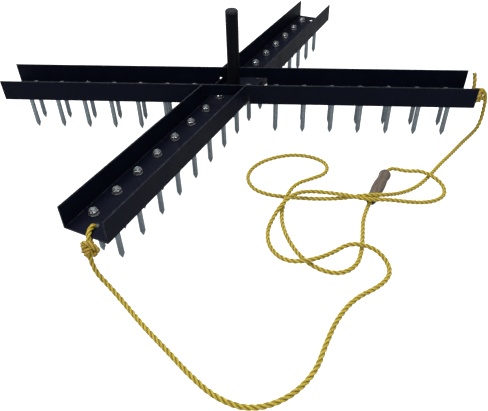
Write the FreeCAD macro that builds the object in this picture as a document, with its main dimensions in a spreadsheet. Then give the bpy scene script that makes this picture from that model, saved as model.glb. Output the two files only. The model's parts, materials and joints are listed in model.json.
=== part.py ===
import FreeCAD, Part
import Sketcher
import math
import os

# Tow-behind lawn dethatcher: two steel channels lap-jointed into a cross, with rows of
# pointed tines bolted through their webs, a post for weight plates, and a pull rope with a
# turned wooden handle.  Millimetres.  The origin is on the ground under the crossing,
# +X runs along the upper channel and +Z points up.

V = FreeCAD.Vector
UP = V(0, 0, 1)

doc = FreeCAD.newDocument("lawn_dethatcher")

# ---------------------------------------------------------------- driving dimensions
SIZES = [
    ("channel_length", 1220, "each channel, end to end"),
    ("channel_width", 106, "outside, across the two flanges"),
    ("channel_depth", 53, "outside, underside of the web to the flange tops"),
    ("sheet_thickness", 3, "web and flanges"),
    ("bend_radius", 2, "outside radius where web and flange meet"),
    ("crossing_angle", 68, "degrees from the upper to the lower channel"),
    ("ground_clearance", 96.5, "ground to the underside of the webs"),
    ("lap_height", 24, "web underside to the level where the two channels bear"),
    ("window_gap", 7, "free space each side of the lower channel in the upper one"),
    ("slot_clearance", 1, "each side of the upper channel in the lower one's flanges"),
    ("rope_hole_diameter", 14, "in the web near each end"),
    ("rope_hole_inset", 30, "from the channel's end to the hole's centre"),
    ("tine_pitch", 74, "along a row"),
    ("row_spacing", 48, "between the two rows of one channel"),
    ("tine_diameter", 12, "bar"),
    ("tine_point_length", 12, "tapered tip"),
    ("tine_point_flat", 2.4, "diameter left at the tip"),
    ("collar_diameter", 20, "shoulder that bears on the underside of the web"),
    ("collar_thickness", 5, "shoulder"),
    ("thread_diameter", 10, "threaded end"),
    ("stud_length", 16, "threaded end above the underside of the web"),
    ("stud_chamfer", 1, "at the threaded end"),
    ("hole_clearance", 0.25, "on the radius, threaded end in the web and the washer"),
    ("washer_diameter", 21, "flat washer"),
    ("washer_thickness", 2, "flat washer"),
    ("nut_flats", 17, "across flats of the lock nut"),
    ("nut_hex_height", 7.5, "hexagonal part"),
    ("nut_crown_height", 2.5, "round crown that holds the ring"),
    ("nut_crown_diameter", 14.8, "outside of the crown"),
    ("nut_chamfer", 1, "height of the bevel on the hexagon's corners"),
    ("thread_clearance", 0.1, "on the radius, nut and ring on the threaded end"),
    ("ring_diameter", 12.6, "outside of the nylon ring"),
    ("ring_height", 2, "nylon ring"),
    ("post_diameter", 31.75, "weight post"),
    ("post_wall", 2.5, "weight post"),
    ("post_top", 225, "underside of the web to the top of the cap"),
    ("cap_lip", 7, "part of the cap that stands above the tube"),
    ("cap_rounding", 5.5, "shoulder of the cap"),
    ("cap_plug", 16, "part of the cap inside the tube"),
    ("cap_clearance", 0.2, "on the radius, plug in the tube"),
    ("post_weld_leg", 5, "fillet weld round the foot of the post"),
    ("post_foot_relief", 0.5, "on the radius, foot of the post turned down for its weld"),
    ("post_foot_gap", 1, "turned-down foot above its weld"),
    ("joint_weld_radius", 2.8, "bead down each corner of the crossing"),
    ("joint_weld_top_gap", 2, "from the top of a bead to the flange tops"),
    ("rope_diameter", 10, "twisted pull rope"),
    ("knot_diameter", 36, "stopper knot at each end of the rope"),
    ("right_knot_reach", 15, "right knot's centre outside the end of the upper channel"),
    ("right_knot_rise", 13.5, "right knot's centre above the underside of the web"),
    ("left_knot_reach", 12, "left knot's centre outside the end of the lower channel"),
    ("left_knot_side", 12, "left knot's centre to the right of the channel's middle"),
    ("left_knot_drop", 14, "left knot's centre below the underside of the web"),
    ("loop_reach", 12, "centre of a rope loop outside the end of the channel"),
    ("loop_rise", 9.5, "centre of a rope loop above or below the web"),
    ("loop_bend", 9, "radius of the corners of a rope loop"),
    ("loop_end_run", 3, "straight end of a rope loop inside its knot"),
    ("tail_length", 44, "short free end above the right knot"),
    ("tail_inset", 7, "its foot, from the knot's centre towards the channel"),
    ("tail_side", 4, "its foot, in front of the knot's centre"),
    ("tail_seat", 12, "its foot above the knot's centre"),
    ("tail_lean", 9, "its tip leans back by this much"),
    ("handle_bore_clearance", 0.8, "on the radius, rope in the handle"),
    ("handle_length", 123, "turned handle, end to end"),
    ("handle_bulb_diameter", 28, "rounded head"),
    ("handle_neck_diameter", 24.4, "neck behind the head"),
    ("handle_barrel_diameter", 28.4, "thickest part of the grip"),
    ("handle_foot_diameter", 24, "narrow end of the grip"),
    ("handle_mouth_diameter", 16, "flat end faces round the bore"),
    ("handle_rounding", 7, "length over which the handle's ends are rounded"),
    ("handle_head_length", 25, "neck to the upper end"),
    ("handle_foot_offset", 49, "handle's foot beyond the start of its straight run of rope"),
]

sheet = doc.addObject("Spreadsheet::Sheet", "sizes")
for row, (alias, value, note) in enumerate(SIZES, start=1):
    sheet.set(f"A{row}", alias)
    sheet.set(f"B{row}", str(value))
    sheet.set(f"C{row}", note)
    sheet.setAlias(f"B{row}", alias)
doc.recompute()


class Length:
    """A number together with the spreadsheet expression that it comes from."""

    def __init__(self, value, text):
        self.value = value
        self.text = text

    def __add__(self, other):
        return Length(self.value + other.value, f"{self.text} + {other.text}")

    def __sub__(self, other):
        return Length(self.value - other.value, f"{self.text} - ({other.text})")

    def __mul__(self, other):
        return Length(self.value * other.value, f"({self.text}) * ({other.text})")

    def __truediv__(self, other):
        return Length(self.value / other.value, f"({self.text}) / ({other.text})")

    def __neg__(self):
        return Length(-self.value, f"-1 * ({self.text})")


def size(alias):
    return Length(float(getattr(sheet, alias)), f"sizes.{alias}")


def number(value):
    return Length(float(value), str(value))


def sine(angle):
    return Length(math.sin(math.radians(angle.value)), f"sin({angle.text})")


def cosine(angle):
    return Length(math.cos(math.radians(angle.value)), f"cos({angle.text})")


ZERO = number(0)
HALF = number(0.5)
TWO = number(2)

channel_half = size("channel_length") * HALF
width_half = size("channel_width") * HALF
depth = size("channel_depth")
sheet_metal = size("sheet_thickness")
angle_of_lower = size("crossing_angle")
ground = size("ground_clearance")
lap = size("lap_height")
row_half = size("row_spacing") * HALF
tine_radius = size("tine_diameter") * HALF
thread_radius = size("thread_diameter") * HALF
post_radius = size("post_diameter") * HALF
rope_radius = size("rope_diameter") * HALF
hole_end = channel_half - size("rope_hole_inset")


# ---------------------------------------------------------------- helpers
PARTS = []


def bind(obj, prop, length):
    obj.setExpression(prop, length.text)


def place(obj, x, y, z, angle=None):
    """Bind an object's position, and its turn about the vertical, to the sheet."""
    turn = FreeCAD.Rotation(UP, angle.value if angle else 0)
    obj.Placement = FreeCAD.Placement(V(x.value, y.value, z.value), turn)
    bind(obj, "Placement.Base.x", x)
    bind(obj, "Placement.Base.y", y)
    bind(obj, "Placement.Base.z", z)
    if angle:
        bind(obj, "Placement.Rotation.Angle", angle)


def new_body(name):
    body = doc.addObject("PartDesign::Body", name)
    body.Label = name
    body.AllowCompound = True
    PARTS.append(body)
    return body


def new_sketch(body, name, plane):
    sketch = body.newObject("Sketcher::SketchObject", name)
    origin_plane = next(f for f in body.Origin.OriginFeatures if f.Role == plane)
    sketch.AttachmentSupport = [(origin_plane, "")]
    sketch.MapMode = "FlatFace"
    return sketch


def fix_point(sketch, geometry, vertex, x, y, label):
    """Tie one vertex to the sketch origin by two named dimensions."""
    for kind, length, axis in (("DistanceX", x, -2), ("DistanceY", y, -1)):
        if length is ZERO:
            sketch.addConstraint(Sketcher.Constraint("PointOnObject", geometry, vertex, axis))
            continue
        constraint = Sketcher.Constraint(kind, -1, 1, geometry, vertex, length.value)
        index = sketch.addConstraint(constraint)
        name = f"{label}{kind[-1]}"
        sketch.renameConstraint(index, name)
        bind(sketch, f"Constraints.{name}", length)


def draw_outline(sketch, corners):
    """A closed outline of straight lines through the given corners."""
    points = [V(x.value, y.value, 0) for x, y in corners]
    count = len(points)
    for i in range(count):
        sketch.addGeometry(Part.LineSegment(points[i], points[(i + 1) % count]))
    for i in range(count):
        sketch.addConstraint(Sketcher.Constraint("Coincident", i, 2, (i + 1) % count, 1))
    for i, (x, y) in enumerate(corners):
        fix_point(sketch, i, 1, x, y, f"corner{i}")


def draw_circle(sketch, x, y, radius, label):
    index = sketch.addGeometry(Part.Circle(V(x.value, y.value, 0), UP, radius.value))
    fix_point(sketch, index, 3, x, y, label)
    constraint = sketch.addConstraint(Sketcher.Constraint("Radius", index, radius.value))
    sketch.renameConstraint(constraint, f"{label}radius")
    bind(sketch, f"Constraints.{label}radius", radius)


def lifted(sketch, level):
    """Raise a sketch above its plane."""
    sketch.AttachmentOffset = FreeCAD.Placement(V(0, 0, level.value), FreeCAD.Rotation())
    bind(sketch, "AttachmentOffset.Base.z", level)
    return sketch


def axis_of(body, role):
    return next(f for f in body.Origin.OriginFeatures if f.Role == role)


def row_pattern(body, count, pitch):
    pattern = body.newObject("PartDesign::LinearPattern", body.Name + "_row")
    pattern.Direction = (axis_of(body, "X_Axis"), [""])
    pattern.Mode = "Extent"
    pattern.Occurrences = count
    bind(pattern, "Length", pitch * number(count - 1))
    return pattern


def repeat(body, feature, count, pitch):
    """Repeat one feature along the body's X axis."""
    pattern = row_pattern(body, count, pitch)
    pattern.Originals = [feature]
    body.Tip = pattern


def repeat_all(body, count, pitch):
    """Repeat the whole piece along the body's X axis, as separate solids."""
    pattern = row_pattern(body, count, pitch)
    pattern.TransformMode = "Whole shape"
    body.Tip = pattern


def turned(body, name, corners):
    """Turn an outline, drawn in the XZ plane, about the body's Z axis."""
    sketch = new_sketch(body, name + "_outline", "XZ_Plane")
    draw_outline(sketch, corners)
    revolution = body.newObject("PartDesign::Revolution", name)
    revolution.Profile = sketch
    revolution.ReferenceAxis = (sketch, ["V_Axis"])
    revolution.Angle = 360
    body.Tip = revolution
    return revolution


def raised(body, name, sketch, height):
    pad = body.newObject("PartDesign::Pad", name)
    pad.Profile = sketch
    bind(pad, "Length", height)
    body.Tip = pad
    return pad


def cut(body, name, sketch, through):
    """Cut the sketch upwards, as far as the given length, or through everything."""
    pocket = body.newObject("PartDesign::Pocket", name)
    pocket.Profile = sketch
    pocket.Reversed = True
    if through is None:
        pocket.Type = "ThroughAll"
    else:
        bind(pocket, "Length", through)
    body.Tip = pocket
    return pocket


# ---------------------------------------------------------------- channels
def channel(name):
    """An open-topped channel along X with its tine holes and its two rope holes."""
    body = new_body(name)
    inner = width_half - sheet_metal
    profile = new_sketch(body, name + "_profile", "YZ_Plane")
    draw_outline(profile, [
        (-width_half, ZERO), (width_half, ZERO), (width_half, depth), (inner, depth),
        (inner, sheet_metal), (-inner, sheet_metal), (-inner, depth), (-width_half, depth),
    ])
    bar = body.newObject("PartDesign::Pad", name + "_bar")
    bar.Profile = profile
    bar.SideType = "Symmetric"
    bind(bar, "Length", size("channel_length"))
    doc.recompute()

    bends = []
    for i, edge in enumerate(bar.Shape.Edges, start=1):
        box = edge.BoundBox
        if box.ZMax < 0.001 and box.XLength > sheet_metal.value:
            bends.append(f"Edge{i}")
    rounding = body.newObject("PartDesign::Fillet", name + "_bends")
    rounding.Base = (bar, bends)
    bind(rounding, "Radius", size("bend_radius"))

    holes = new_sketch(body, name + "_tine_holes", "XY_Plane")
    first = size("tine_pitch") * number(0.5 - STATIONS)
    for side, y in (("left", row_half), ("right", -row_half)):
        draw_circle(holes, first, y, thread_radius + size("hole_clearance"), side)
    drilled = cut(body, name + "_drilled", holes, sheet_metal)
    repeat(body, drilled, 2 * STATIONS, size("tine_pitch"))

    eyes = new_sketch(body, name + "_rope_holes", "XY_Plane")
    for side, x in (("front", hole_end), ("back", -hole_end)):
        draw_circle(eyes, x, ZERO, size("rope_hole_diameter") * HALF, side)
    cut(body, name + "_eyes", eyes, sheet_metal)
    return body


def skewed_cut(body, name, half_width, angle, level, height):
    """Cut a strip that crosses the channel at an angle, from a level upwards."""
    strip = new_sketch(body, name + "_strip", "XY_Plane")
    reach = size("channel_width") * TWO
    draw_outline(strip, [
        (-reach, -half_width), (reach, -half_width), (reach, half_width), (-reach, half_width),
    ])
    turn = FreeCAD.Rotation(UP, angle.value)
    strip.AttachmentOffset = FreeCAD.Placement(V(0, 0, level.value), turn)
    bind(strip, "AttachmentOffset.Base.z", level)
    bind(strip, "AttachmentOffset.Rotation.Angle", angle)
    cut(body, name, strip, height)


# stations are counted outwards from the crossing, half a pitch to the first; the washer of
# the last one stays clear of the rope hole, and an upper arm's first clears the window
tine_pitch = size("tine_pitch").value
washer_radius = size("washer_diameter").value / 2
last_washer = hole_end.value - size("rope_hole_diameter").value / 2 - washer_radius
STATIONS = math.floor(last_washer / tine_pitch + 0.5)
window_half = width_half + size("window_gap")
window_end = (window_half + row_half * cosine(angle_of_lower)) / sine(angle_of_lower)
UPPER_FIRST = math.ceil((window_end.value + washer_radius) / tine_pitch + 0.5)

upper_channel = channel("upper_channel")
skewed_cut(upper_channel, "window", window_half, angle_of_lower, ZERO, lap)
place(upper_channel, ZERO, ZERO, ground)

lower_channel = channel("lower_channel")
slot_half = width_half + size("slot_clearance")
back_angle = number(180) - angle_of_lower
skewed_cut(lower_channel, "flange_slots", slot_half, back_angle, lap, None)
place(lower_channel, ZERO, ZERO, ground, angle_of_lower)


# ---------------------------------------------------------------- tines and their fasteners
washer_top = sheet_metal + size("washer_thickness")
hex_top = washer_top + size("nut_hex_height")
crown_top = hex_top + size("nut_crown_height")
ring_seat = crown_top - size("ring_height")
thread_hole = thread_radius + size("thread_clearance")
ring_radius = size("ring_diameter") * HALF


def tine(body):
    """Pointed bar with a shoulder under the web and a threaded end above it."""
    collar = size("collar_diameter") * HALF
    shoulder = -size("collar_thickness")
    flat = size("tine_point_flat") * HALF
    stud = size("stud_length")
    chamfer = size("stud_chamfer")
    turned(body, body.Name + "_turned", [
        (ZERO, -ground), (flat, -ground), (tine_radius, -ground + size("tine_point_length")),
        (tine_radius, shoulder), (collar, shoulder), (collar, ZERO), (thread_radius, ZERO),
        (thread_radius, stud - chamfer), (thread_radius - chamfer, stud), (ZERO, stud),
    ])


def ring(body, inner, outer, low, high):
    outline = [(inner, low), (outer, low), (outer, high), (inner, high)]
    turned(body, body.Name + "_turned", outline)


def washer(body):
    inner = thread_radius + size("hole_clearance")
    ring(body, inner, size("washer_diameter") * HALF, sheet_metal, washer_top)


def lock_ring(body):
    ring(body, thread_hole, ring_radius, ring_seat, crown_top)


def lock_nut(body):
    """Hexagon with bevelled corners, a round crown, the bore, and the seat of the ring."""
    name = body.Name
    flats = size("nut_flats") * HALF
    corner = flats / cosine(number(30))
    side = corner * HALF
    hexagon = lifted(new_sketch(body, name + "_hexagon", "XY_Plane"), washer_top)
    draw_outline(hexagon, [
        (corner, ZERO), (side, flats), (-side, flats), (-corner, ZERO), (-side, -flats),
        (side, -flats),
    ])
    raised(body, name + "_hex", hexagon, size("nut_hex_height"))
    crown = lifted(new_sketch(body, name + "_crown_circle", "XY_Plane"), hex_top)
    draw_circle(crown, ZERO, ZERO, size("nut_crown_diameter") * HALF, "crown")
    raised(body, name + "_crown", crown, size("nut_crown_height"))

    bevel_outline = new_sketch(body, name + "_bevel_outline", "XZ_Plane")
    draw_outline(bevel_outline, [
        (flats, hex_top), (corner, hex_top - size("nut_chamfer")), (corner, hex_top),
    ])
    bevel = body.newObject("PartDesign::Groove", name + "_bevel")
    bevel.Profile = bevel_outline
    bevel.ReferenceAxis = (bevel_outline, ["V_Axis"])
    bevel.Angle = 360
    body.Tip = bevel

    for label, radius, level in (("bore", thread_hole, washer_top), ("seat", ring_radius, ring_seat)):
        circle = lifted(new_sketch(body, f"{name}_{label}_circle", "XY_Plane"), level)
        draw_circle(circle, ZERO, ZERO, radius, label)
        cut(body, f"{name}_{label}", circle, None)


ARMS = [
    # arm, its angle, the first station used, the row on its left, the row on its right
    ("right", ZERO, UPPER_FIRST, "rear", "front"),
    ("left", number(180), UPPER_FIRST, "front", "rear"),
    ("far", angle_of_lower, 1, "left", "right"),
    ("near", angle_of_lower + number(180), 1, "right", "left"),
]
KINDS = [("tines", tine), ("washers", washer), ("nuts", lock_nut), ("lock_rings", lock_ring)]


def place_row(body, angle, first, side):
    """Put a row's first station on its arm; side is +1 on the arm's left and -1 on its right."""
    along = size("tine_pitch") * number(first - 0.5)
    across = row_half * number(side)
    x = along * cosine(angle) - across * sine(angle)
    y = along * sine(angle) + across * cosine(angle)
    place(body, x, y, ground, angle)


for arm, arm_angle, first_station, left_row, right_row in ARMS:
    for row_side, row_name in ((1, left_row), (-1, right_row)):
        for kind, make in KINDS:
            fasteners = new_body(f"{kind}_{arm}_{row_name}")
            make(fasteners)
            repeat_all(fasteners, STATIONS - first_station + 1, size("tine_pitch"))
            place_row(fasteners, arm_angle, first_station, row_side)


# ---------------------------------------------------------------- weight post
cap_top = size("post_top")
tube_top = cap_top - size("cap_lip")
tube_bore = post_radius - size("post_wall")
cap_plug_radius = tube_bore - size("cap_clearance")

weld_leg = size("post_weld_leg")
foot_radius = post_radius - size("post_foot_relief")
foot_top = sheet_metal + weld_leg + size("post_foot_gap")

post = new_body("center_post")
turned(post, "post_turned", [
    (tube_bore, sheet_metal), (foot_radius, sheet_metal), (foot_radius, foot_top),
    (post_radius, foot_top), (post_radius, tube_top), (tube_bore, tube_top),
])
place(post, ZERO, ZERO, ground)

post_cap = new_body("post_cap")
plug_end = tube_top - size("cap_plug")
cap_blank = turned(post_cap, "cap_turned", [
    (ZERO, plug_end), (cap_plug_radius, plug_end), (cap_plug_radius, tube_top),
    (post_radius, tube_top), (post_radius, cap_top), (ZERO, cap_top),
])
doc.recompute()
top_edges = []
for number_of_edge, edge in enumerate(cap_blank.Shape.Edges, start=1):
    if edge.BoundBox.ZMin > cap_top.value - 0.001 and edge.Closed:
        top_edges.append(f"Edge{number_of_edge}")
cap_shoulder = post_cap.newObject("PartDesign::Fillet", "cap_shoulder")
cap_shoulder.Base = (cap_blank, top_edges)
bind(cap_shoulder, "Radius", size("cap_rounding"))
post_cap.Tip = cap_shoulder
place(post_cap, ZERO, ZERO, ground)

post_weld = new_body("post_weld")
turned(post_weld, "post_weld_turned", [
    (foot_radius, sheet_metal), (foot_radius + weld_leg, sheet_metal),
    (foot_radius, sheet_metal + weld_leg),
])
place(post_weld, ZERO, ZERO, ground)


# ---------------------------------------------------------------- welds of the crossing
def corner_of_crossing(upper_side, lower_side):
    """Where an outer face of the upper channel meets an outer face of the lower one."""
    lean = width_half * number(lower_side) * cosine(angle_of_lower)
    along = (width_half * number(upper_side) + lean) / sine(angle_of_lower)
    x = along * cosine(angle_of_lower) + width_half * number(lower_side) * sine(angle_of_lower)
    return x, width_half * number(upper_side)


beads = []
for upper_side in (-1, 1):
    for lower_side in (-1, 1):
        bead = doc.addObject("Part::Cylinder", f"bead_{len(beads) + 1}")
        bind(bead, "Radius", size("joint_weld_radius"))
        bind(bead, "Height", depth - lap - size("joint_weld_top_gap"))
        bead_x, bead_y = corner_of_crossing(upper_side, lower_side)
        place(bead, bead_x, bead_y, ground + lap)
        beads.append(bead)
bead_blanks = doc.addObject("Part::Compound", "bead_blanks")
bead_blanks.Links = beads
both_channels = doc.addObject("Part::Compound", "both_channels")
both_channels.Links = [upper_channel, lower_channel]
crossing_welds = doc.addObject("Part::Cut", "crossing_welds")
crossing_welds.Base = bead_blanks
crossing_welds.Tool = both_channels
crossing_welds.Label = "crossing_welds"
PARTS.append(crossing_welds)


# ---------------------------------------------------------------- pull rope
FLOOR = 5.2
ROPE_POINTS = [
    (634, -5, 119), (646, -4, 108), (653, -1, 88), (657, 1, 64), (658, -2, 40), (651, -11, 18),
    (634, -28, 7), (600, -68, FLOOR), (560, -122, FLOOR), (520, -172, FLOOR),
    (486, -221, FLOOR), (456, -258, FLOOR), (424, -286, 9),
    # over the foot of the handle
    (390, -313, 24), (360, -334, 43), (314, -337, 42), (276, -331, 22), (238, -322, 8),
    (196, -321, FLOOR), (150, -318, FLOOR), (104, -312, FLOOR), (66, -291, FLOOR),
    (48, -246, FLOOR), (64, -198, FLOOR), (106, -162, FLOOR), (160, -144, FLOOR),
    (212, -153, FLOOR), (246, -182, FLOOR), (242, -222, FLOOR), (202, -249, 7),
    # over its own first strand
    (166, -283, 17), (147, -323, 17), (136, -362, 9), (136, -405, FLOOR), (148, -452, FLOOR),
    (170, -500, FLOOR), (205, -538, FLOOR), (250, -552, FLOOR), (286, -528, FLOOR),
    (301, -482, FLOOR), (306, -440, 6),
    # straight through the handle
    (312, -382, 14), (390, -206, 14),
    (409, -194, 13), (434, -196, 13), (464, -216, 17), (492, -240, 17), (510, -264, 9),
    (507, -292, FLOOR), (484, -314, FLOOR), (450, -328, 9), (410, -340, 24),
    # beside the foot of the handle, then over the strand next to it
    (368, -346, 39), (322, -350, 41), (280, -337, 42), (242, -316, 22), (204, -308, 17),
    (168, -328, 27), (140, -358, 26), (116, -397, 9), (105, -440, FLOOR), (113, -485, FLOOR),
    (138, -520, 9), (171, -534, 17), (209, -522, 17), (240, -496, 8), (276, -474, 17),
    (320, -483, 17), (346, -508, 7), (350, -545, FLOOR), (324, -578, FLOOR),
    (274, -610, FLOOR), (240, -657, FLOOR), (217, -712, FLOOR), (198, -768, FLOOR),
    (156, -816, FLOOR), (98, -840, FLOOR), (42, -824, FLOOR), (-6, -786, FLOOR),
    (-56, -738, FLOOR), (-106, -692, FLOOR), (-146, -651, 8), (-180, -622, 20),
    (-208, -606, 42), (-222, -590, 70),
]
HANDLE_RUN = 41
ARC_SHARE = 0.45


def tube_along(points, radius, bend=None):
    """A round tube along straight runs joined by tangent arcs, its length and its radii.

    Each arc takes ARC_SHARE of the shorter run beside it, or has the given bend radius.
    """
    points = [V(*p) for p in points]
    edges = []
    radii = []
    start = points[0]
    for before, corner, after in zip(points, points[1:], points[2:]):
        back = (before - corner).normalize()
        ahead = (after - corner).normalize()
        half_turn = (math.pi - back.getAngle(ahead)) / 2
        if bend is None:
            reach = ARC_SHARE * min(before.distanceToPoint(corner), after.distanceToPoint(corner))
            arc_radius = reach / math.tan(half_turn)
        else:
            arc_radius = bend
            reach = bend * math.tan(half_turn)
        inward = (back + ahead).normalize()
        middle = corner + inward * (arc_radius / math.cos(half_turn) - arc_radius)
        arc_start = corner + back * reach
        arc_end = corner + ahead * reach
        edges.append(Part.LineSegment(start, arc_start).toShape())
        edges.append(Part.Arc(arc_start, middle, arc_end).toShape())
        radii.append(arc_radius)
        start = arc_end
    edges.append(Part.LineSegment(start, points[-1]).toShape())
    path = Part.Wire(edges)
    section = Part.Circle(points[0], points[1] - points[0], radius)
    tube = path.makePipeShell([Part.Wire([section.toShape()])], True, False)
    expected = math.pi * radius ** 2 * path.Length
    if abs(tube.Volume - expected) > 0.005 * expected:
        raise SystemExit("a tube's volume differs from its section times its length")
    return tube, path.Length, radii


def cord(name, points, bend=None):
    tube, length, radii = tube_along(points, rope_radius.value, bend)
    feature = doc.addObject("Part::Feature", name)
    feature.Label = name
    feature.Shape = tube
    feature.Placement = FreeCAD.Placement()
    PARTS.append(feature)
    print(name, "length", round(length), "radii", [round(r) for r in radii])
    return feature


cord("pull_rope", ROPE_POINTS)


# ---------------------------------------------------------------- knots and loops
def knot(name, along, aside, level, angle):
    """A stopper knot, placed by its distances along and to the right of a channel's axis."""
    ball = doc.addObject("Part::Sphere", name)
    ball.Label = name
    bind(ball, "Radius", size("knot_diameter") * HALF)
    x = along * cosine(angle) + aside * sine(angle)
    y = along * sine(angle) - aside * cosine(angle)
    place(ball, x, y, level)
    PARTS.append(ball)
    return ball


right_knot_x = channel_half + size("right_knot_reach")
right_knot_z = ground + size("right_knot_rise")
left_knot_along = -channel_half - size("left_knot_reach")
left_knot_z = ground - size("left_knot_drop")
knot("right_knot", right_knot_x, ZERO, right_knot_z, ZERO)
knot("left_knot", left_knot_along, size("left_knot_side"), left_knot_z, angle_of_lower)

loop_high = ground + sheet_metal + size("loop_rise")
loop_low = ground - size("loop_rise")
loop_out = channel_half + size("loop_reach")
loop_end_lift = size("loop_bend") + size("loop_end_run")


def right_loop_points():
    """From the knot over the web, down through the hole, and back under the web."""
    outer = loop_out.value
    eye = hole_end.value
    return [
        (outer - size("loop_end_run").value, 0, loop_high.value), (eye, 0, loop_high.value),
        (eye, 0, loop_low.value), (outer, 0, loop_low.value),
        (outer, 0, loop_low.value + loop_end_lift.value),
    ]


def left_loop_points():
    """The same loop on the lower channel, with its knot hanging lower and to one side."""
    eye = -hole_end.value
    outer = -loop_out.value
    side = size("left_knot_side").value
    knot_level = left_knot_z.value
    local = [
        (left_knot_along.value, side, knot_level), (outer, side / 4, loop_high.value),
        (eye, 0, loop_high.value), (eye, 0, loop_low.value),
        (outer + size("left_knot_reach").value / 2, side, knot_level),
    ]
    angle = math.radians(angle_of_lower.value)
    along = V(math.cos(angle), math.sin(angle), 0)
    aside = V(math.sin(angle), -math.cos(angle), 0)
    return [along * s + aside * n + UP * z for s, n, z in local]


cord("right_loop", right_loop_points(), size("loop_bend").value)
cord("left_loop", left_loop_points(), size("loop_bend").value)
tail_foot = V(right_knot_x.value - size("tail_inset").value, -size("tail_side").value,
              right_knot_z.value + size("tail_seat").value)
tail_half = size("tail_length").value / 2
tail_lean = size("tail_lean").value
tail_bend = tail_foot + V(0, tail_lean / 3, tail_half)
tail_end = tail_foot + V(0, tail_lean, 2 * tail_half)
cord("rope_tail", [tail_foot, tail_bend, tail_end])


# ---------------------------------------------------------------- pull handle
def handle_shape():
    """The turned outline, from the foot at z = 0 to the rounded head, round the bore."""
    length = size("handle_length").value
    mouth = size("handle_mouth_diameter").value / 2
    foot = size("handle_foot_diameter").value / 2
    barrel = size("handle_barrel_diameter").value / 2
    neck = size("handle_neck_diameter").value / 2
    bulb = size("handle_bulb_diameter").value / 2
    rounding = size("handle_rounding").value
    head = size("handle_head_length").value
    neck_at = length - head
    bulb_at = length - head / 2
    barrel_at = 0.6 * neck_at
    stations = [
        (0, mouth), (rounding / 3, (mouth + 2 * foot) / 3), (rounding, foot),
        (barrel_at / 2, (foot + barrel) / 2), (barrel_at, barrel),
        ((barrel_at + neck_at) / 2, (neck + 2 * barrel) / 3), (neck_at, neck), (bulb_at, bulb),
        (length - rounding / 2, (mouth + 2 * bulb) / 3), (length, mouth),
    ]
    outline = Part.BSplineCurve()
    outline.interpolate([V(r, 0, z) for z, r in stations])
    bore = rope_radius.value + size("handle_bore_clearance").value
    corners = [V(mouth, 0, length), V(bore, 0, length), V(bore, 0, 0), V(mouth, 0, 0)]
    edges = [outline.toShape()]
    for start, end in zip(corners, corners[1:]):
        edges.append(Part.LineSegment(start, end).toShape())
    half_section = Part.Face(Part.Wire(edges))
    return half_section.revolve(V(0, 0, 0), UP, 360)


run_start = V(*ROPE_POINTS[HANDLE_RUN])
run_direction = (V(*ROPE_POINTS[HANDLE_RUN + 1]) - run_start).normalize()
foot_position = run_start + run_direction * size("handle_foot_offset").value
handle = doc.addObject("Part::Feature", "pull_handle")
handle.Label = "pull_handle"
handle.Shape = handle_shape()
handle.Placement = FreeCAD.Placement(foot_position, FreeCAD.Rotation(UP, run_direction))
PARTS.append(handle)
print("handle foot", foot_position, "direction", run_direction)


# ---------------------------------------------------------------- checks and export
doc.recompute()
for obj in doc.Objects:
    if "Invalid" in obj.State or "Error" in obj.State:
        raise SystemExit(f"{obj.Name} failed: {obj.State}")
for part in PARTS:
    if part.Shape.isNull() or not part.Shape.isValid():
        raise SystemExit(f"{part.Label} has no valid shape")

os.makedirs("parts", exist_ok=True)
for part in PARTS:
    part.Shape.exportStep(f"parts/{part.Label}.step")
print(len(PARTS), "parts")
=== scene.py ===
"""A lawn dethatcher: two crossed channels with rows of bolted tines, a weight post on the
crossing, and a twisted pull rope with a turned wooden handle.  Metres, +Z up."""

import json
import math

import bpy
from mathutils import Matrix, Vector, noise


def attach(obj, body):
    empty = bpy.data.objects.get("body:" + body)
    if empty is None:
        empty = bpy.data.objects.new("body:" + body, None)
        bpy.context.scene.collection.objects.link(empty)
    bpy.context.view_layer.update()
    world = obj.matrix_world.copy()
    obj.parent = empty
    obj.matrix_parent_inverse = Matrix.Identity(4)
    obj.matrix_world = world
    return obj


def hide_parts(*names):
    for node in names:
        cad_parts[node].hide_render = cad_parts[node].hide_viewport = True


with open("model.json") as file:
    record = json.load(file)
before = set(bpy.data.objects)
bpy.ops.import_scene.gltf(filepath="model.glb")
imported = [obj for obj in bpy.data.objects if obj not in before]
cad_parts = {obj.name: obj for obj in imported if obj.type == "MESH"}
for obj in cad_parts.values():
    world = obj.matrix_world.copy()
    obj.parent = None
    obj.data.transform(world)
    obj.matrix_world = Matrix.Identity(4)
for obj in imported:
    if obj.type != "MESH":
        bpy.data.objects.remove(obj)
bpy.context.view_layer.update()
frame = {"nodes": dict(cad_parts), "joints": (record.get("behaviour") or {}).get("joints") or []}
nodes = frame["nodes"]
scene = bpy.context.scene
scene.view_settings.view_transform = "Standard"

MM = 0.001


# ------------------------------------------------------------------ camera, floor and light
def aim_camera(place, heading, tilt, roll, lens):
    """heading is clockwise from +Y, tilt is below the horizon, in degrees."""
    heading, tilt, roll = (math.radians(a) for a in (heading, tilt, roll))
    ahead = Vector((math.sin(heading) * math.cos(tilt), math.cos(heading) * math.cos(tilt),
                    -math.sin(tilt)))
    across = Vector((math.cos(heading), -math.sin(heading), 0))
    upward = across.cross(ahead)
    side = across * math.cos(roll) + upward * math.sin(roll)
    top = upward * math.cos(roll) - across * math.sin(roll)
    camera = bpy.data.objects.new("camera", bpy.data.cameras.new("camera"))
    camera.data.lens = lens
    camera.data.sensor_width = 36
    camera.data.clip_start = 0.02
    turn = Matrix((side, top, -ahead)).transposed()
    camera.matrix_world = Matrix.Translation(place) @ turn.to_4x4()
    scene.collection.objects.link(camera)
    scene.camera = camera


aim_camera(Vector((0.1309, -1.2398, 0.7502)), heading=-5.20, tilt=39.92, roll=-1.476,
           lens=37.90)


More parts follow.
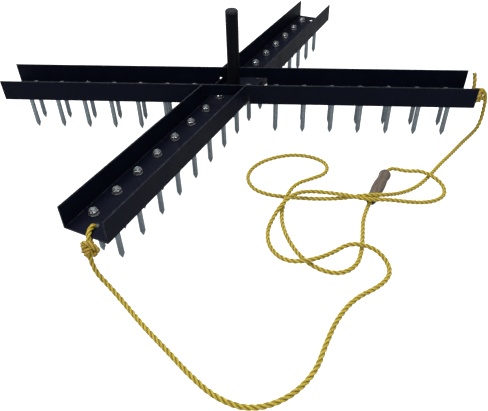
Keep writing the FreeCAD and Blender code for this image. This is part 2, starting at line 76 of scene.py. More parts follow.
def softbox(name, place, target, size, watts):
    """A rectangular lamp at a place, turned to face its target."""
    lamp = bpy.data.lights.new(name, "AREA")
    lamp.shape = "RECTANGLE"
    lamp.size, lamp.size_y = size
    lamp.energy = watts
    box = bpy.data.objects.new(name, lamp)
    box.location = place
    box.rotation_euler = (Vector(target) - Vector(place)).to_track_quat("-Z", "Y").to_euler()
    scene.collection.objects.link(box)


softbox("overhead_softbox", (-0.5, 0.3, 2.6), (0, -0.1, 0), size=(2.6, 2.0), watts=70)
softbox("front_softbox", (1.4, -2.4, 1.7), (0.1, -0.2, 0), size=(1.6, 1.2), watts=26)
softbox("side_softbox", (-2.4, -1.2, 1.4), (0, -0.1, 0.05), size=(1.2, 1.2), watts=12)

world = bpy.data.worlds.new("studio")
scene.world = world
world.use_nodes = True
sky = world.node_tree.nodes["Background"]
sky.inputs["Color"].default_value = (1, 1, 1, 1)
sky.inputs["Strength"].default_value = 0.32


# ------------------------------------------------------------------ node helpers
def add(tree, kind, **values):
    """A new node with the named properties set."""
    made = tree.nodes.new(kind)
    for name, value in values.items():
        setattr(made, name, value)
    return made


def join(tree, output, target):
    tree.links.new(output, target)


def arithmetic(tree, operation, first, second=None, third=None, clamp=False):
    """A math node on sockets or plain numbers; gives its output."""
    made = add(tree, "ShaderNodeMath", operation=operation, use_clamp=clamp)
    for socket, value in zip(made.inputs, (first, second, third)):
        if value is None:
            continue
        if isinstance(value, (int, float)):
            socket.default_value = value
        else:
            join(tree, value, socket)
    return made.outputs[0]


def blend_colours(tree, share, first, second, blend_type="MIX"):
    """A colour mix on sockets, plain colours or numbers; gives its output."""
    made = add(tree, "ShaderNodeMix", data_type="RGBA", blend_type=blend_type)
    for socket, value in zip((made.inputs[0], made.inputs[6], made.inputs[7]),
                             (share, first, second)):
        if isinstance(value, (int, float)):
            socket.default_value = value
        elif isinstance(value, tuple):
            socket.default_value = (*value, 1)
        else:
            join(tree, value, socket)
    return made.outputs[2]


def spread(tree, value, low, high, to_low=0.0, to_high=1.0):
    """Stretches a value from one span to another, clamped."""
    made = add(tree, "ShaderNodeMapRange", clamp=True)
    join(tree, value, made.inputs[0])
    for socket, number in zip(made.inputs[1:5], (low, high, to_low, to_high)):
        socket.default_value = number
    return made.outputs[0]


def clouds(tree, vector, scale, detail=3.0, roughness=0.55, stretch=None):
    """Noise on a vector socket, stretched by three factors if given; gives its value."""
    if stretch is not None:
        mapping = add(tree, "ShaderNodeMapping")
        mapping.inputs["Scale"].default_value = stretch
        join(tree, vector, mapping.inputs["Vector"])
        vector = mapping.outputs[0]
    made = add(tree, "ShaderNodeTexNoise")
    made.inputs["Scale"].default_value = scale
    made.inputs["Detail"].default_value = detail
    made.inputs["Roughness"].default_value = roughness
    join(tree, vector, made.inputs["Vector"])
    return made.outputs["Fac"]


def component(tree, vector, axis):
    """One component of a vector socket."""
    split = add(tree, "ShaderNodeSeparateXYZ")
    join(tree, vector, split.inputs[0])
    return split.outputs[axis]


def add_bump(tree, surface, height, strength, distance):
    """Bends the shader's normal by a height; gives the bump node."""
    bump = add(tree, "ShaderNodeBump")
    bump.inputs["Strength"].default_value = strength
    bump.inputs["Distance"].default_value = distance
    join(tree, height, bump.inputs["Height"])
    join(tree, bump.outputs[0], surface.inputs["Normal"])
    return bump


def blank_material(name):
    """A new material; gives it with its node tree and its shader."""
    material = bpy.data.materials.new(name)
    material.use_nodes = True
    return material, material.node_tree, material.node_tree.nodes["Principled BSDF"]


SOCKET_KINDS = {"colour": "NodeSocketColor", "value": "NodeSocketFloat",
                "vector": "NodeSocketVector"}


def new_group(name, inputs, outputs):
    """An empty node group with named sockets; gives the tree, its inputs and its output node."""
    tree = bpy.data.node_groups.new(name, "ShaderNodeTree")
    for label, (kind, default) in inputs.items():
        socket = tree.interface.new_socket(name=label, in_out="INPUT",
                                           socket_type=SOCKET_KINDS[kind])
        socket.default_value = (*default, 1) if kind == "colour" else default
    for label, kind in outputs.items():
        tree.interface.new_socket(name=label, in_out="OUTPUT", socket_type=SOCKET_KINDS[kind])
    return tree, add(tree, "NodeGroupInput").outputs, add(tree, "NodeGroupOutput").inputs


# ------------------------------------------------------------------ finishes shared by materials
# how far in from an edge the powder coat is worn and carries a painted highlight
EDGE_WEAR_AND_HIGHLIGHT_WIDTH = 0.0014


def make_soft_edges():
    """Rounds sharp edges for the light, and gives a mask of where the edges are."""
    tree, given, result = new_group("soft_edges", {"Width": ("value", 0.0006)},
                                    {"Normal": "vector", "Edge": "value"})
    rounded = add(tree, "ShaderNodeBevel", samples=4)
    join(tree, given["Width"], rounded.inputs["Radius"])
    flat = add(tree, "ShaderNodeNewGeometry").outputs["Normal"]
    meeting = add(tree, "ShaderNodeVectorMath", operation="DOT_PRODUCT")
    join(tree, rounded.outputs[0], meeting.inputs[0])
    join(tree, flat, meeting.inputs[1])
    join(tree, rounded.outputs[0], result["Normal"])
    join(tree, spread(tree, meeting.outputs["Value"], 0.995, 0.80), result["Edge"])
    return tree


def make_dust():
    """Pale dust and grime that settles on upward faces in patches."""
    tree, given, result = new_group(
        "settled_dust",
        {"Color": ("colour", (0, 0, 0)), "Dust Color": ("colour", (0.3, 0.28, 0.25)),
         "Amount": ("value", 0.1)},
        {"Color": "colour"})
    shape = add(tree, "ShaderNodeNewGeometry")
    upward = spread(tree, component(tree, shape.outputs["Normal"], "Z"), 0.2, 1.0)
    patches = spread(tree, clouds(tree, shape.outputs["Position"], 38, 5, 0.62), 0.42, 0.68)
    layer = arithmetic(tree, "MULTIPLY", upward, patches)
    layer = arithmetic(tree, "MULTIPLY", layer, given["Amount"], clamp=True)
    join(tree, blend_colours(tree, layer, given["Color"], given["Dust Color"]), result["Color"])
    return tree


def make_powder_coat():
    """Orange-peel powder coat: a fine pebbled height, cloudy gloss, slight colour drift, and
    light edges that are partly wear and partly a painted highlight.
    """
    tree, given, result = new_group(
        "powder_coat",
        {"Color": ("colour", (0.01, 0.01, 0.013)), "Bright": ("colour", (0.05, 0.055, 0.075)),
         "Worn And Highlit Edge": ("colour", (0.1, 0.1, 0.11)), "Gloss": ("value", 0.4)},
        {"Color": "colour", "Roughness": "value", "Height": "value"})
    place = add(tree, "ShaderNodeNewGeometry").outputs["Position"]
    peel = clouds(tree, place, 900, 2, 0.5)
    drift = spread(tree, clouds(tree, place, 16, 4, 0.6), 0.3, 0.7)
    edge = add(tree, "ShaderNodeGroup", node_tree=SOFT_EDGES)
    edge.inputs["Width"].default_value = EDGE_WEAR_AND_HIGHLIGHT_WIDTH
    scuffs = spread(tree, clouds(tree, place, 60, 6, 0.7), 0.45, 0.6)
    # the edges take the worn edge colour: partly rubbed wear, partly a painted highlight along
    # rims and flange tops
    edge_wear_and_highlight = arithmetic(tree, "MULTIPLY", edge.outputs["Edge"],
                      arithmetic(tree, "MULTIPLY_ADD", scuffs, 0.6, 0.4), clamp=True)
    body = blend_colours(tree, arithmetic(tree, "MULTIPLY", drift, 0.22), given["Color"],
                         given["Bright"])
    join(tree, blend_colours(tree, edge_wear_and_highlight, body, given["Worn And Highlit Edge"]), result["Color"])
    rough = arithmetic(tree, "MULTIPLY_ADD", drift, 0.12, given["Gloss"])
    join(tree, arithmetic(tree, "MULTIPLY_ADD", peel, 0.08, rough), result["Roughness"])
    join(tree, peel, result["Height"])
    return tree


def make_plating():
    """Zinc plate: cloudy grey, faint turning marks along the part, and painted shade darkening
    its gaps and hollows.
    """
    tree, given, result = new_group(
        "zinc_plate",
        {"Color": ("colour", (0.5, 0.5, 0.5)), "Dull": ("colour", (0.25, 0.27, 0.28)),
         "Cloudiness": ("value", 0.5), "Roughness": ("value", 0.35),
         "Painted Shade Reach": ("value", 0.005)},
        {"Color": "colour", "Roughness": "value", "Height": "value"})
    place = add(tree, "ShaderNodeNewGeometry").outputs["Position"]
    mottle = spread(tree, clouds(tree, place, 170, 5, 0.6), 0.35, 0.68)
    marks = clouds(tree, place, 420, 2, 0.5, stretch=(1, 1, 9))
    share = arithmetic(tree, "MULTIPLY", mottle, given["Cloudiness"])
    tone = blend_colours(tree, share, given["Color"], given["Dull"])
    shade = spread(tree, marks, 0.35, 0.65, to_low=0.86, to_high=1.06)
    # painted shade: ambient occlusion darkens the colour in gaps and hollows
    painted_crease_shade = add(tree, "ShaderNodeAmbientOcclusion", samples=8)
    join(tree, given["Painted Shade Reach"], painted_crease_shade.inputs["Distance"])
    shade = arithmetic(tree, "MULTIPLY", shade,
                       spread(tree, painted_crease_shade.outputs["AO"], 0.3, 0.9, to_low=0.06))
    join(tree, blend_colours(tree, 1.0, tone, shade, "MULTIPLY"), result["Color"])
    join(tree, arithmetic(tree, "MULTIPLY_ADD", mottle, 0.16, given["Roughness"]),
         result["Roughness"])
    join(tree, marks, result["Height"])
    return tree


def make_yarn():
    """Twisted split-film yarn: streaks along the rope, darker fibre bundles, and painted shade in
    the grooves between strands.
    """
    tree, given, result = new_group(
        "rope_yarn",
        {"Color": ("colour", (0.55, 0.40, 0.05)), "Light": ("colour", (0.8, 0.62, 0.16)),
         "Groove": ("colour", (0.12, 0.08, 0.012)), "Grime": ("value", 0.3)},
        {"Color": "colour", "Roughness": "value", "Height": "value"})
    along = add(tree, "ShaderNodeAttribute", attribute_name="rope_space").outputs["Vector"]
    depth = add(tree, "ShaderNodeAttribute", attribute_name="groove").outputs["Fac"]
    place = add(tree, "ShaderNodeNewGeometry").outputs["Position"]
    fibres = clouds(tree, along, 1.0, 3, 0.65, stretch=(2300, 2300, 130))
    bundles = clouds(tree, along, 1.0, 2, 0.5, stretch=(700, 700, 60))
    streak = spread(tree, fibres, 0.36, 0.66)
    tone = blend_colours(tree, arithmetic(tree, "MULTIPLY", streak, 0.75), given["Color"],
                         given["Light"])
    tone = blend_colours(tree, spread(tree, bundles, 0.56, 0.72, to_high=0.45), tone,
                         given["Groove"])
    # painted shade: the colour darkens towards the dark colour where the strands meet
    painted_groove_shade = arithmetic(tree, "POWER", depth, 1.25)
    painted_groove_shade = arithmetic(tree, "MULTIPLY", painted_groove_shade, 0.94, clamp=True)
    tone = blend_colours(tree, painted_groove_shade, tone, given["Groove"])
    patches = spread(tree, clouds(tree, place, 26, 5, 0.6), 0.45, 0.75)
    grime = arithmetic(tree, "MULTIPLY", patches, given["Grime"], clamp=True)
    join(tree, blend_colours(tree, grime, tone, (0.20, 0.145, 0.05)), result["Color"])
    join(tree, spread(tree, fibres, 0.3, 0.7, to_low=0.52, to_high=0.36), result["Roughness"])
    join(tree, arithmetic(tree, "MULTIPLY_ADD", bundles, 0.5, fibres), result["Height"])
    return tree


SOFT_EDGES = make_soft_edges()
DUST = make_dust()
POWDER_COAT = make_powder_coat()
ZINC_PLATE = make_plating()
ROPE_YARN = make_yarn()


# ------------------------------------------------------------------ materials
def new_material(name, group, values, relief, **shader):
    """A material on one group: its Color, Roughness and Height drive the shader.

    relief is the bump's (strength, distance); other names set the shader's own sockets.
    Gives the material, its tree, its shader, the group's node and the bump.
    """
    material, tree, surface = blank_material(name)
    finish = add(tree, "ShaderNodeGroup", node_tree=group)
    for label, value in values.items():
        finish.inputs[label].default_value = (*value, 1) if isinstance(value, tuple) else value
    join(tree, finish.outputs["Color"], surface.inputs["Base Color"])
    join(tree, finish.outputs["Roughness"], surface.inputs["Roughness"])
    bump = add_bump(tree, surface, finish.outputs["Height"], *relief)
    for label, value in shader.items():
        surface.inputs[label.replace("_", " ")].default_value = value
    return material, tree, surface, finish, bump


def with_soft_edges(parts, width):
    """Feeds the bump from edges rounded by the given width."""
    _, tree, _, _, bump = parts
    rounded = add(tree, "ShaderNodeGroup", node_tree=SOFT_EDGES)
    rounded.inputs["Width"].default_value = width
    join(tree, rounded.outputs["Normal"], bump.inputs["Normal"])


def with_dust(parts, colour, amount):
    """Lays settled dust over the finish's colour."""
    _, tree, surface, finish, _ = parts
    layer = add(tree, "ShaderNodeGroup", node_tree=DUST)
    layer.inputs["Dust Color"].default_value = (*colour, 1)
    layer.inputs["Amount"].default_value = amount
    join(tree, finish.outputs["Color"], layer.inputs["Color"])
    join(tree, layer.outputs["Color"], surface.inputs["Base Color"])


def coat_material(name, colour, bright, worn_and_highlit_edge, gloss, edge_width, dust):
    """Dusty powder coat; bright is its cloudier shade, and worn_and_highlit_edge is the colour of
    its edges, partly wear and partly a painted highlight.
    """
    parts = new_material(name, POWDER_COAT,
                         {"Color": colour, "Bright": bright, "Worn And Highlit Edge": worn_and_highlit_edge, "Gloss": gloss},
                         relief=(0.12, 0.0002), Specular_IOR_Level=0.06,
                         Specular_Tint=(0.70, 0.78, 1.0, 1))
    with_soft_edges(parts, edge_width)
    with_dust(parts, (0.07, 0.08, 0.10), dust)
    return parts[0]


def zinc_material(name, colour, dull, cloudiness, roughness, edge_width):
    """Zinc plate that goes from one grey to a duller one, a little dusty."""
    parts = new_material(name, ZINC_PLATE,
                         {"Color": colour, "Dull": dull, "Cloudiness": cloudiness,
                          "Roughness": roughness}, relief=(0.10, 0.0002), Metallic=0.9)
    with_soft_edges(parts, edge_width)
    with_dust(parts, (0.22, 0.20, 0.17), 0.12)
    return parts[0]


def rope_material(name, colour, light, groove, grime):
    """Rope yarn from its colour to its light streaks, with darker bundles, painted shade in the
    grooves, and grime.
    """
    parts = new_material(name, ROPE_YARN, {"Color": colour, "Light": light, "Groove": groove,
                                           "Grime": grime},
                         relief=(0.7, 0.0006), Specular_IOR_Level=0.35)
    return parts[0]


channel_coat = coat_material("channel_coat", (0.0028, 0.0038, 0.0100), (0.0075, 0.0105, 0.026),
                             (0.15, 0.165, 0.19), 0.36, 0.0007, 0.03)
post_coat = coat_material("post_coat", (0.0036, 0.0038, 0.0060), (0.012, 0.013, 0.019),
                          (0.040, 0.043, 0.052), 0.34, 0.0005, 0.03)
weld_coat = coat_material("weld_coat", (0.0045, 0.0045, 0.0062), (0.014, 0.015, 0.021),
                          (0.020, 0.022, 0.028), 0.45, 0.0008, 0.05)
cap_plastic = coat_material("cap_plastic", (0.020, 0.021, 0.026), (0.055, 0.058, 0.070),
                            (0.060, 0.064, 0.074), 0.42, 0.0006, 0.10)
tine_zinc = zinc_material("tine_zinc", (0.31, 0.375, 0.42), (0.13, 0.175, 0.21), 0.6, 0.32,
                          0.0004)
nut_zinc = zinc_material("nut_zinc", (0.88, 0.90, 0.90), (0.55, 0.58, 0.60), 0.5, 0.13, 0.0005)
washer_zinc = zinc_material("washer_zinc", (0.78, 0.80, 0.81), (0.46, 0.49, 0.51), 0.5, 0.18,
                            0.0003)
pull_rope_yarn = rope_material("pull_rope_yarn", (0.42, 0.295, 0.010), (0.92, 0.73, 0.085),
                               (0.022, 0.014, 0.001), 0.16)
knot_yarn = rope_material("knot_yarn", (0.42, 0.255, 0.012), (0.82, 0.60, 0.09),
                          (0.045, 0.022, 0.001), 0.14)


def make_nylon():
    """Grey nylon of the lock rings, with faint clouding."""
    material, tree, surface = blank_material("ring_nylon")
    place = add(tree, "ShaderNodeNewGeometry").outputs["Position"]
    cloud = spread(tree, clouds(tree, place, 240, 4, 0.6), 0.35, 0.65)
    join(tree, blend_colours(tree, cloud, (0.075, 0.078, 0.085), (0.045, 0.047, 0.052)),
         surface.inputs["Base Color"])
    join(tree, spread(tree, cloud, 0, 1, to_low=0.38, to_high=0.52), surface.inputs["Roughness"])
    surface.inputs["Subsurface Weight"].default_value = 0.1
    surface.inputs["Subsurface Scale"].default_value = 0.002
    return material


def make_wood():
    """Turned, weathered hardwood: grain along it, pores, dark ends, and painted shade on its
    sides and underside.
    """
    material, tree, surface = blank_material("handle_wood")
    local = add(tree, "ShaderNodeTexCoord").outputs["Object"]
    grain = clouds(tree, local, 1.0, 5, 0.62, stretch=(420, 420, 16))
    pores = clouds(tree, local, 1.0, 3, 0.7, stretch=(1900, 1900, 70))
    bands = clouds(tree, local, 1.0, 2, 0.5, stretch=(90, 90, 9))
    tone = blend_colours(tree, spread(tree, grain, 0.40, 0.62), (0.105, 0.080, 0.062),
                         (0.240, 0.190, 0.150))
    tone = blend_colours(tree, spread(tree, bands, 0.45, 0.7, to_high=0.55), tone,
                         (0.105, 0.078, 0.058))
    tone = blend_colours(tree, spread(tree, pores, 0.60, 0.72, to_high=0.6), tone,
                         (0.045, 0.032, 0.024))
    along = component(tree, local, "Z")
    foot_dark = spread(tree, along, 0.020, 0.0, to_high=0.75)
    head_dark = spread(tree, along, 0.104, 0.123, to_high=0.6)
    ends = arithmetic(tree, "MAXIMUM", foot_dark, head_dark)
    tone = blend_colours(tree, ends, tone, (0.052, 0.040, 0.036))
    upward = component(tree, add(tree, "ShaderNodeNewGeometry").outputs["Normal"], "Z")
    # painted shade: the colour darkens where the surface faces sideways or down
    painted_side_shade = spread(tree, upward, 0.80, 0.20, to_high=0.85)
    join(tree, blend_colours(tree, painted_side_shade, tone, (0.040, 0.042, 0.046)),
         surface.inputs["Base Color"])
    join(tree, spread(tree, grain, 0.3, 0.7, to_low=0.62, to_high=0.45),
         surface.inputs["Roughness"])
    add_bump(tree, surface, arithmetic(tree, "SUBTRACT", grain, pores), 0.35, 0.0006)
    surface.inputs["Specular IOR Level"].default_value = 0.35
    return material


ring_nylon = make_nylon()
handle_wood = make_wood()


# ------------------------------------------------------------------ mesh helpers
def curve_points(curve):
    """The points along a curve, which is deleted."""
    holder = bpy.data.objects.new(curve.name, curve)
    mesh = bpy.data.meshes.new_from_object(holder)
    points = [v.co.copy() for v in mesh.vertices]
    bpy.data.objects.remove(holder)
    bpy.data.curves.remove(curve)
    bpy.data.meshes.remove(mesh)
    return points


def ring_faces(rings, sides, closed):
    """The faces between rings of points; closed joins the last ring to the first."""
    faces = []
    for i in range(rings if closed else rings - 1):
        here, there = i * sides, (i + 1) % rings * sides
        for j in range(sides):
            k = (j + 1) % sides
            faces.append((here + j, here + k, there + k, there + j))
    return faces


def smooth_piece(name, verts, faces, material):
    """A smoothly shaded object of one material."""
    mesh = bpy.data.meshes.new(name)
    mesh.from_pydata(verts, [], faces)
    mesh.polygons.foreach_set("use_smooth", [True] * len(mesh.polygons))
    mesh.materials.append(material)
    mesh.update()
    piece = bpy.data.objects.new(name, mesh)
    scene.collection.objects.link(piece)
    return piece


# ------------------------------------------------------------------ rope
ROPE_RADIUS = 5.0 * MM
STRAND_RADIUS = 2.7 * MM
STRAND_OFFSET = ROPE_RADIUS - STRAND_RADIUS
LAY_LENGTH = 36 * MM
STRANDS = 3
SIDES_PER_STRAND = 10
TUFT_LENGTH = 4 * MM
# how much the rope and each strand swell and shrink, and how finely along the rope
ROPE_SWELL, ROPE_SWELL_SCALE = 0.025, 55
STRAND_SWELL, STRAND_SWELL_SCALE = 0.03, 90
ROPE_NOISE_ROW = 3.1
STRAND_NOISE_STEP = 7.7
# points between two stations of a route
PULL_ROPE_FINENESS = 28
LOOP_FINENESS = 12
KNOT_FINENESS = 10

# The routes run in millimetres; LYING is the height of the rope's middle on the ground.
LYING = 5.2

PULL_ROPE_ROUTE = [
    (612, -1, 119), (632, -3, 127), (647, -3, 114), (653, -2, 92), (656, 0, 68),
    (657, -2, 41), (651, -11, 18),
    # down on the ground
    (634, -28, 7), (600, -68, LYING), (560, -122, LYING), (520, -172, LYING),
    (486, -221, LYING), (456, -258, LYING), (424, -286, 8),
    # over the foot of the handle
    (390, -313, 19), (360, -334, 33), (314, -337, 33), (276, -331, 18), (238, -322, 7),
    (196, -321, LYING), (150, -318, LYING), (104, -312, LYING), (66, -291, LYING),
    (48, -246, LYING), (64, -198, LYING), (106, -162, LYING), (160, -144, LYING),
    (212, -153, LYING), (246, -182, LYING), (242, -222, LYING), (202, -249, 7),
    # over its own first strand
    (166, -283, 17), (147, -323, 17), (136, -362, 9), (136, -405, LYING), (148, -452, LYING),
    (170, -500, LYING), (205, -538, LYING), (250, -552, LYING), (286, -528, LYING),
    (301, -482, LYING), (306, -440, 6),
    # straight through the handle
    (312, -382, 14), (360, -273.7, 14), (388, -210.5, 14),
    (406, -201.5, 11), (434, -208, 8), (464, -216, 17), (492, -240, 17), (510, -264, 9),
    (507, -292, LYING), (484, -314, LYING), (450, -328, 9), (410, -340, 20),
    # beside the foot of the handle, then over the strand next to it
    (368, -346, 30), (322, -349, 30), (280, -337, 32), (242, -316, 20), (204, -308, 17),
    (168, -328, 27), (140, -358, 26), (116, -397, 9), (105, -440, LYING), (113, -485, LYING),
    (138, -520, 9), (171, -534, 17), (209, -522, 17), (240, -496, 8), (276, -474, 17),
    (320, -483, 17), (346, -508, 7), (350, -545, LYING), (324, -578, LYING),
    (274, -610, LYING), (240, -657, LYING), (217, -712, LYING), (198, -768, LYING),
    (156, -816, LYING), (98, -840, LYING), (42, -824, LYING), (-6, -786, LYING),
    (-56, -738, LYING), (-106, -692, LYING), (-146, -651, 8), (-180, -622, 20),
    (-208, -606, 42), (-220, -591, 68), (-221, -583, 82),
]
RIGHT_LOOP = [
    (621, 4, 118), (610, 4, 118), (594, 1, 111), (580, 0, 109), (580, 0, 88),
    (596, 0, 87), (616, 1, 90), (626, 0, 100),
]
LEFT_LOOP = [
    (-221, -586, 82), (-219, -580, 96), (-221.5, -567, 104.5), (-222, -552, 103.8),
    (-219, -541.5, 103.4), (-218.5, -540, 87), (-224, -560, 86), (-225, -576, 80),
]
FREE_END = [(616, -3, 118), (614, -2, 136), (613, 2, 151), (609, 5, 164)]


def smooth_line(name, route, fineness):
    """The points along a spline whose control points are the route."""
    curve = bpy.data.curves.new(name, "CURVE")
    curve.dimensions = "3D"
    curve.resolution_u = fineness
    spline = curve.splines.new("NURBS")
    spline.points.add(len(route) - 1)
    for point, place in zip(spline.points, route):
        point.co = (*(c * MM for c in place), 1)
    spline.order_u = 3
    spline.use_endpoint_u = True
    return curve_points(curve)


def directions(line):
    """The unit direction of the line at each of its points."""
    before = [line[0]] + line[:-1]
    after = line[1:] + [line[-1]]
    return [(b - a).normalized() for a, b in zip(before, after)]


def strand_reach(turn):
    """How far three touching strands reach from the rope's middle, and how deep the groove is."""
    sector = math.tau / STRANDS
    off = (turn + sector / 2) % sector - sector / 2
    reach = STRAND_OFFSET * math.cos(off) + math.sqrt(
        STRAND_RADIUS ** 2 - (STRAND_OFFSET * math.sin(off)) ** 2)
    return reach, (abs(off) / (sector / 2)) ** 2


def twisted_rope(name, line, material, flare=0.0, seed=0.0):
    """A three-strand rope with its own twist along the line; gives the object.

    flare opens the last few millimetres of a cut end into a loose tuft.
    """
    ahead = directions(line)
    side = ahead[0].orthogonal().normalized()
    sides = STRANDS * SIDES_PER_STRAND
    verts, grooves, yarn_space = [], [], []
    travelled = 0.0
    whole = sum((b - a).length for a, b in zip(line, line[1:]))
    twists = whole / LAY_LENGTH
    for i, (centre, forward) in enumerate(zip(line, ahead)):
        if i:
            travelled += (centre - line[i - 1]).length
        side = (side - forward * side.dot(forward)).normalized()
        over = forward.cross(side)
        twist = math.tau * twists * travelled / whole
        swell = 1 + ROPE_SWELL * noise.noise(
            Vector((travelled * ROPE_SWELL_SCALE, seed, ROPE_NOISE_ROW)))
        from_end = (whole - travelled) / TUFT_LENGTH
        swell *= 1 + flare * max(0.0, 1 - from_end)
        for j in range(sides):
            turn = math.tau * j / sides
            reach, groove = strand_reach(turn)
            strand = j // SIDES_PER_STRAND
            reach *= swell * (1 + STRAND_SWELL * noise.noise(Vector(
                (travelled * STRAND_SWELL_SCALE, strand * STRAND_NOISE_STEP, seed))))
            angle = turn + twist
            verts.append(centre + (side * math.cos(angle) + over * math.sin(angle)) * reach)
            grooves.append(groove)
            yarn_space.append((reach * math.cos(angle), reach * math.sin(angle), travelled))
    rings = len(line)
    faces = ring_faces(rings, sides, closed=False)
    faces.append(tuple(range(sides))[::-1])
    faces.append(tuple(range((rings - 1) * sides, rings * sides)))
    rope = smooth_piece(name, verts, faces, material)
    rope.data.attributes.new("groove", "FLOAT", "POINT").data.foreach_set("value", grooves)
    rope.data.attributes.new("rope_space", "FLOAT_VECTOR", "POINT").data.foreach_set(
        "vector", [c for v in yarn_space for c in v])
    return rope


def belongs(piece, body, slot, *stands_for):
    """Gives a piece its body and hides the nodes it stands for; slot is not used."""
    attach(piece, body)
    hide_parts(*stands_for)
    return piece


pull_line = smooth_line("pull_rope_line", PULL_ROPE_ROUTE, PULL_ROPE_FINENESS)
pull_rope = belongs(twisted_rope("twisted_pull_rope", pull_line, pull_rope_yarn),
                    "frame", "pull_rope", "pull_rope")

# turns of a knot: degrees round its middle, millimetres out and millimetres up its axis
KNOT_TURNS = [
    # through the middle
    (20, 3, 17), (40, 1.5, 8), (90, 1.5, 0), (120, 2, -8), (150, 5, -14), (190, 10, -14),
    # round itself three times
    (240, 11.5, -11), (300, 11.8, -9.5), (0, 11.8, -8), (60, 11.8, -6.5), (120, 11.8, -5),
    (180, 11.8, -3.5), (240, 11.8, -2), (300, 11.8, -0.5), (0, 11.8, 1), (60, 11.8, 2.5),
    (120, 11.8, 4), (180, 11.8, 5.5), (240, 11.6, 7), (300, 11.2, 8.5), (350, 11, 10),
    # back across the turns and under the first
    (20, 14, 8), (38, 17.5, 2), (50, 18, -6), (70, 14, -13), (110, 6, -15), (180, 2, -12),
]


def knot_route(middle, axis, start, scale):
    """Places the turns of a knot round an axis, turned by start degrees."""
    axis = Vector(axis).normalized()
    first = Vector((1, 0, 0))
    first = (first - axis * first.dot(axis)).normalized()
    second = axis.cross(first)
    route = []
    for degrees, out, up in KNOT_TURNS:
        angle = math.radians(degrees + start)
        spoke = first * math.cos(angle) + second * math.sin(angle)
        route.append(tuple(Vector(middle) + (spoke * out + axis * up) * scale))
    return route


def rope_knot(name, middle, axis, start, scale, seed, stands_for):
    """A tight knot of the same rope."""
    line = smooth_line(name + "_line", knot_route(middle, axis, start, scale),
                       KNOT_FINENESS)
    return belongs(twisted_rope(name, line, knot_yarn, seed=seed), "frame", "knot_rope",
                   stands_for)


right_knot = rope_knot("right_rope_knot", (632, -3, 104), (0.75, 0.1, 0.65), 200, 1.0, 4.2,
                       "right_knot")
left_knot = rope_knot("left_rope_knot", (-219, -583.5, 79.5), (0.7, -0.6, -0.4), 20, 1.02, 9.6,
                      "left_knot")


def rope_stub(name, route, stands_for, seed, flare=0.0):
    """A loop or a free end beyond a knot."""
    line = smooth_line(name + "_line", route, LOOP_FINENESS)
    return belongs(twisted_rope(name, line, pull_rope_yarn, flare=flare, seed=seed), "frame",
                   "knot_rope", stands_for)


right_loop = rope_stub("right_rope_loop", RIGHT_LOOP, "right_loop", seed=1.3)
left_loop = rope_stub("left_rope_loop", LEFT_LOOP, "left_loop", seed=2.4)
free_end = rope_stub("rope_free_end", FREE_END, "rope_tail", seed=6.5, flare=0.16)


# ------------------------------------------------------------------ turned handle
HANDLE_SIDES = 72
HANDLE_OUTLINE_FINENESS = 4
HANDLE_BORE = 5.8 * MM
# how far the bore's mouth is eased, and how far its rim stands back from the end face
HANDLE_LIP = 0.8 * MM
HANDLE_RIM = 0.15 * MM
HANDLE_UNEVENNESS, HANDLE_UNEVENNESS_SCALE = 0.006, 30
# millimetres along the handle from its foot, and its radius there
HANDLE_PROFILE = [
    (0, 8), (0.8, 8.8), (3.2, 10.2), (8, 11.6), (16, 12.3), (29, 12.5), (40, 12.9), (52, 13.9),
    (63, 14.2), (74, 14.0), (86, 12.9), (95, 12.3), (101, 12.6), (107, 13.6), (112, 14.0),
    (116.5, 13.4), (120, 11.7), (122.3, 9.5), (123, 8),
]
turning = next(joint for joint in frame["joints"] if joint["name"] == "handle_spin")
HANDLE_ALONG = Vector(turning["axis"]).normalized()
HANDLE_FOOT = Vector(turning["pos_m"]) - HANDLE_ALONG * (HANDLE_PROFILE[-1][0] / 2 * MM)


def turned_outline(profile, fineness):
    """A smooth outline through the profile's stations, as (along, radius) pairs."""
    curve = bpy.data.curves.new("handle_outline", "CURVE")
    curve.resolution_u = fineness
    spline = curve.splines.new("BEZIER")
    spline.bezier_points.add(len(profile) - 1)
    for point, (along, radius) in zip(spline.bezier_points, profile):
        point.co = (radius * MM, along * MM, 0)
        point.handle_left_type = point.handle_right_type = "AUTO"
    return [(point.y, point.x) for point in curve_points(curve)]


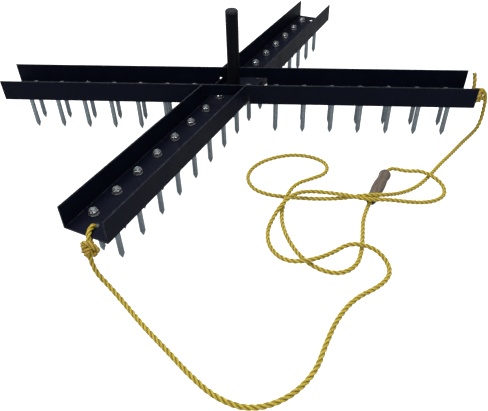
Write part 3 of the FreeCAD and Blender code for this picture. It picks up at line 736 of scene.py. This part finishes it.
def turned_handle():
    """The handle, turned round its own Z axis with its bore, its foot at the origin."""
    outline = turned_outline(HANDLE_PROFILE, HANDLE_OUTLINE_FINENESS)
    length = HANDLE_PROFILE[-1][0] * MM
    mouth = HANDLE_BORE + HANDLE_LIP
    outline += [(length - HANDLE_RIM, mouth), (length - HANDLE_LIP, HANDLE_BORE),
                (length / 2, HANDLE_BORE), (HANDLE_LIP, HANDLE_BORE), (HANDLE_RIM, mouth)]
    verts = []
    for along, radius in outline:
        for j in range(HANDLE_SIDES):
            angle = math.tau * j / HANDLE_SIDES
            uneven = 1 + HANDLE_UNEVENNESS * noise.noise(Vector(
                (math.cos(angle), math.sin(angle), along * HANDLE_UNEVENNESS_SCALE)))
            verts.append((radius * uneven * math.cos(angle), radius * uneven * math.sin(angle),
                          along))
    handle = smooth_piece("turned_handle", verts,
                          ring_faces(len(outline), HANDLE_SIDES, closed=True), handle_wood)
    handle.matrix_world = (Matrix.Translation(HANDLE_FOOT)
                           @ HANDLE_ALONG.to_track_quat("Z", "Y").to_matrix().to_4x4())
    return handle


belongs(turned_handle(), "handle", "handle_wood", "pull_handle")


# ------------------------------------------------------------------ finishes of the metal parts
# the material of each part, by the start of its name
FINISHES = {
    "upper_channel": channel_coat, "lower_channel": channel_coat, "center_post": post_coat,
    "post_cap": cap_plastic, "post_weld": weld_coat, "crossing_welds": weld_coat,
    "tines": tine_zinc, "nuts": nut_zinc, "washers": washer_zinc, "lock_rings": ring_nylon,
}
for name, part in nodes.items():
    for start, material in FINISHES.items():
        if name.startswith(start):
            part.data.materials.clear()
            part.data.materials.append(material)


# ------------------------------------------------------------------ floor
FLOOR_HALF_WIDTH = 40.0
FLOOR_DROP = 0.0005
# the floor's own light: as it is seen, and as it falls on the object
FLOOR_GLOW_SEEN = 1.0
FLOOR_GLOW_CAST = 0.12


def make_floor():
    """A plain pale floor that looks brighter than the light it casts on the object."""
    half = FLOOR_HALF_WIDTH
    mesh = bpy.data.meshes.new("studio_floor")
    corners = [(-half, -half, 0), (half, -half, 0), (half, half, 0), (-half, half, 0)]
    mesh.from_pydata(corners, [], [(0, 1, 2, 3)])
    material, tree, surface = blank_material("studio_floor")
    place = add(tree, "ShaderNodeNewGeometry").outputs["Position"]
    tone = spread(tree, clouds(tree, place, 3, 3), 0.3, 0.7)
    join(tree, blend_colours(tree, tone, (0.50, 0.50, 0.50), (0.53, 0.53, 0.53)),
         surface.inputs["Base Color"])
    surface.inputs["Roughness"].default_value = 0.9
    surface.inputs["Specular IOR Level"].default_value = 0.1
    surface.inputs["Emission Color"].default_value = (1, 1, 1, 1)
    seen = add(tree, "ShaderNodeLightPath").outputs["Is Camera Ray"]
    join(tree, spread(tree, seen, 0, 1, FLOOR_GLOW_CAST, FLOOR_GLOW_SEEN),
         surface.inputs["Emission Strength"])
    mesh.materials.append(material)
    floor = bpy.data.objects.new("studio_floor", mesh)
    floor.location.z = -FLOOR_DROP
    scene.collection.objects.link(floor)


make_floor()
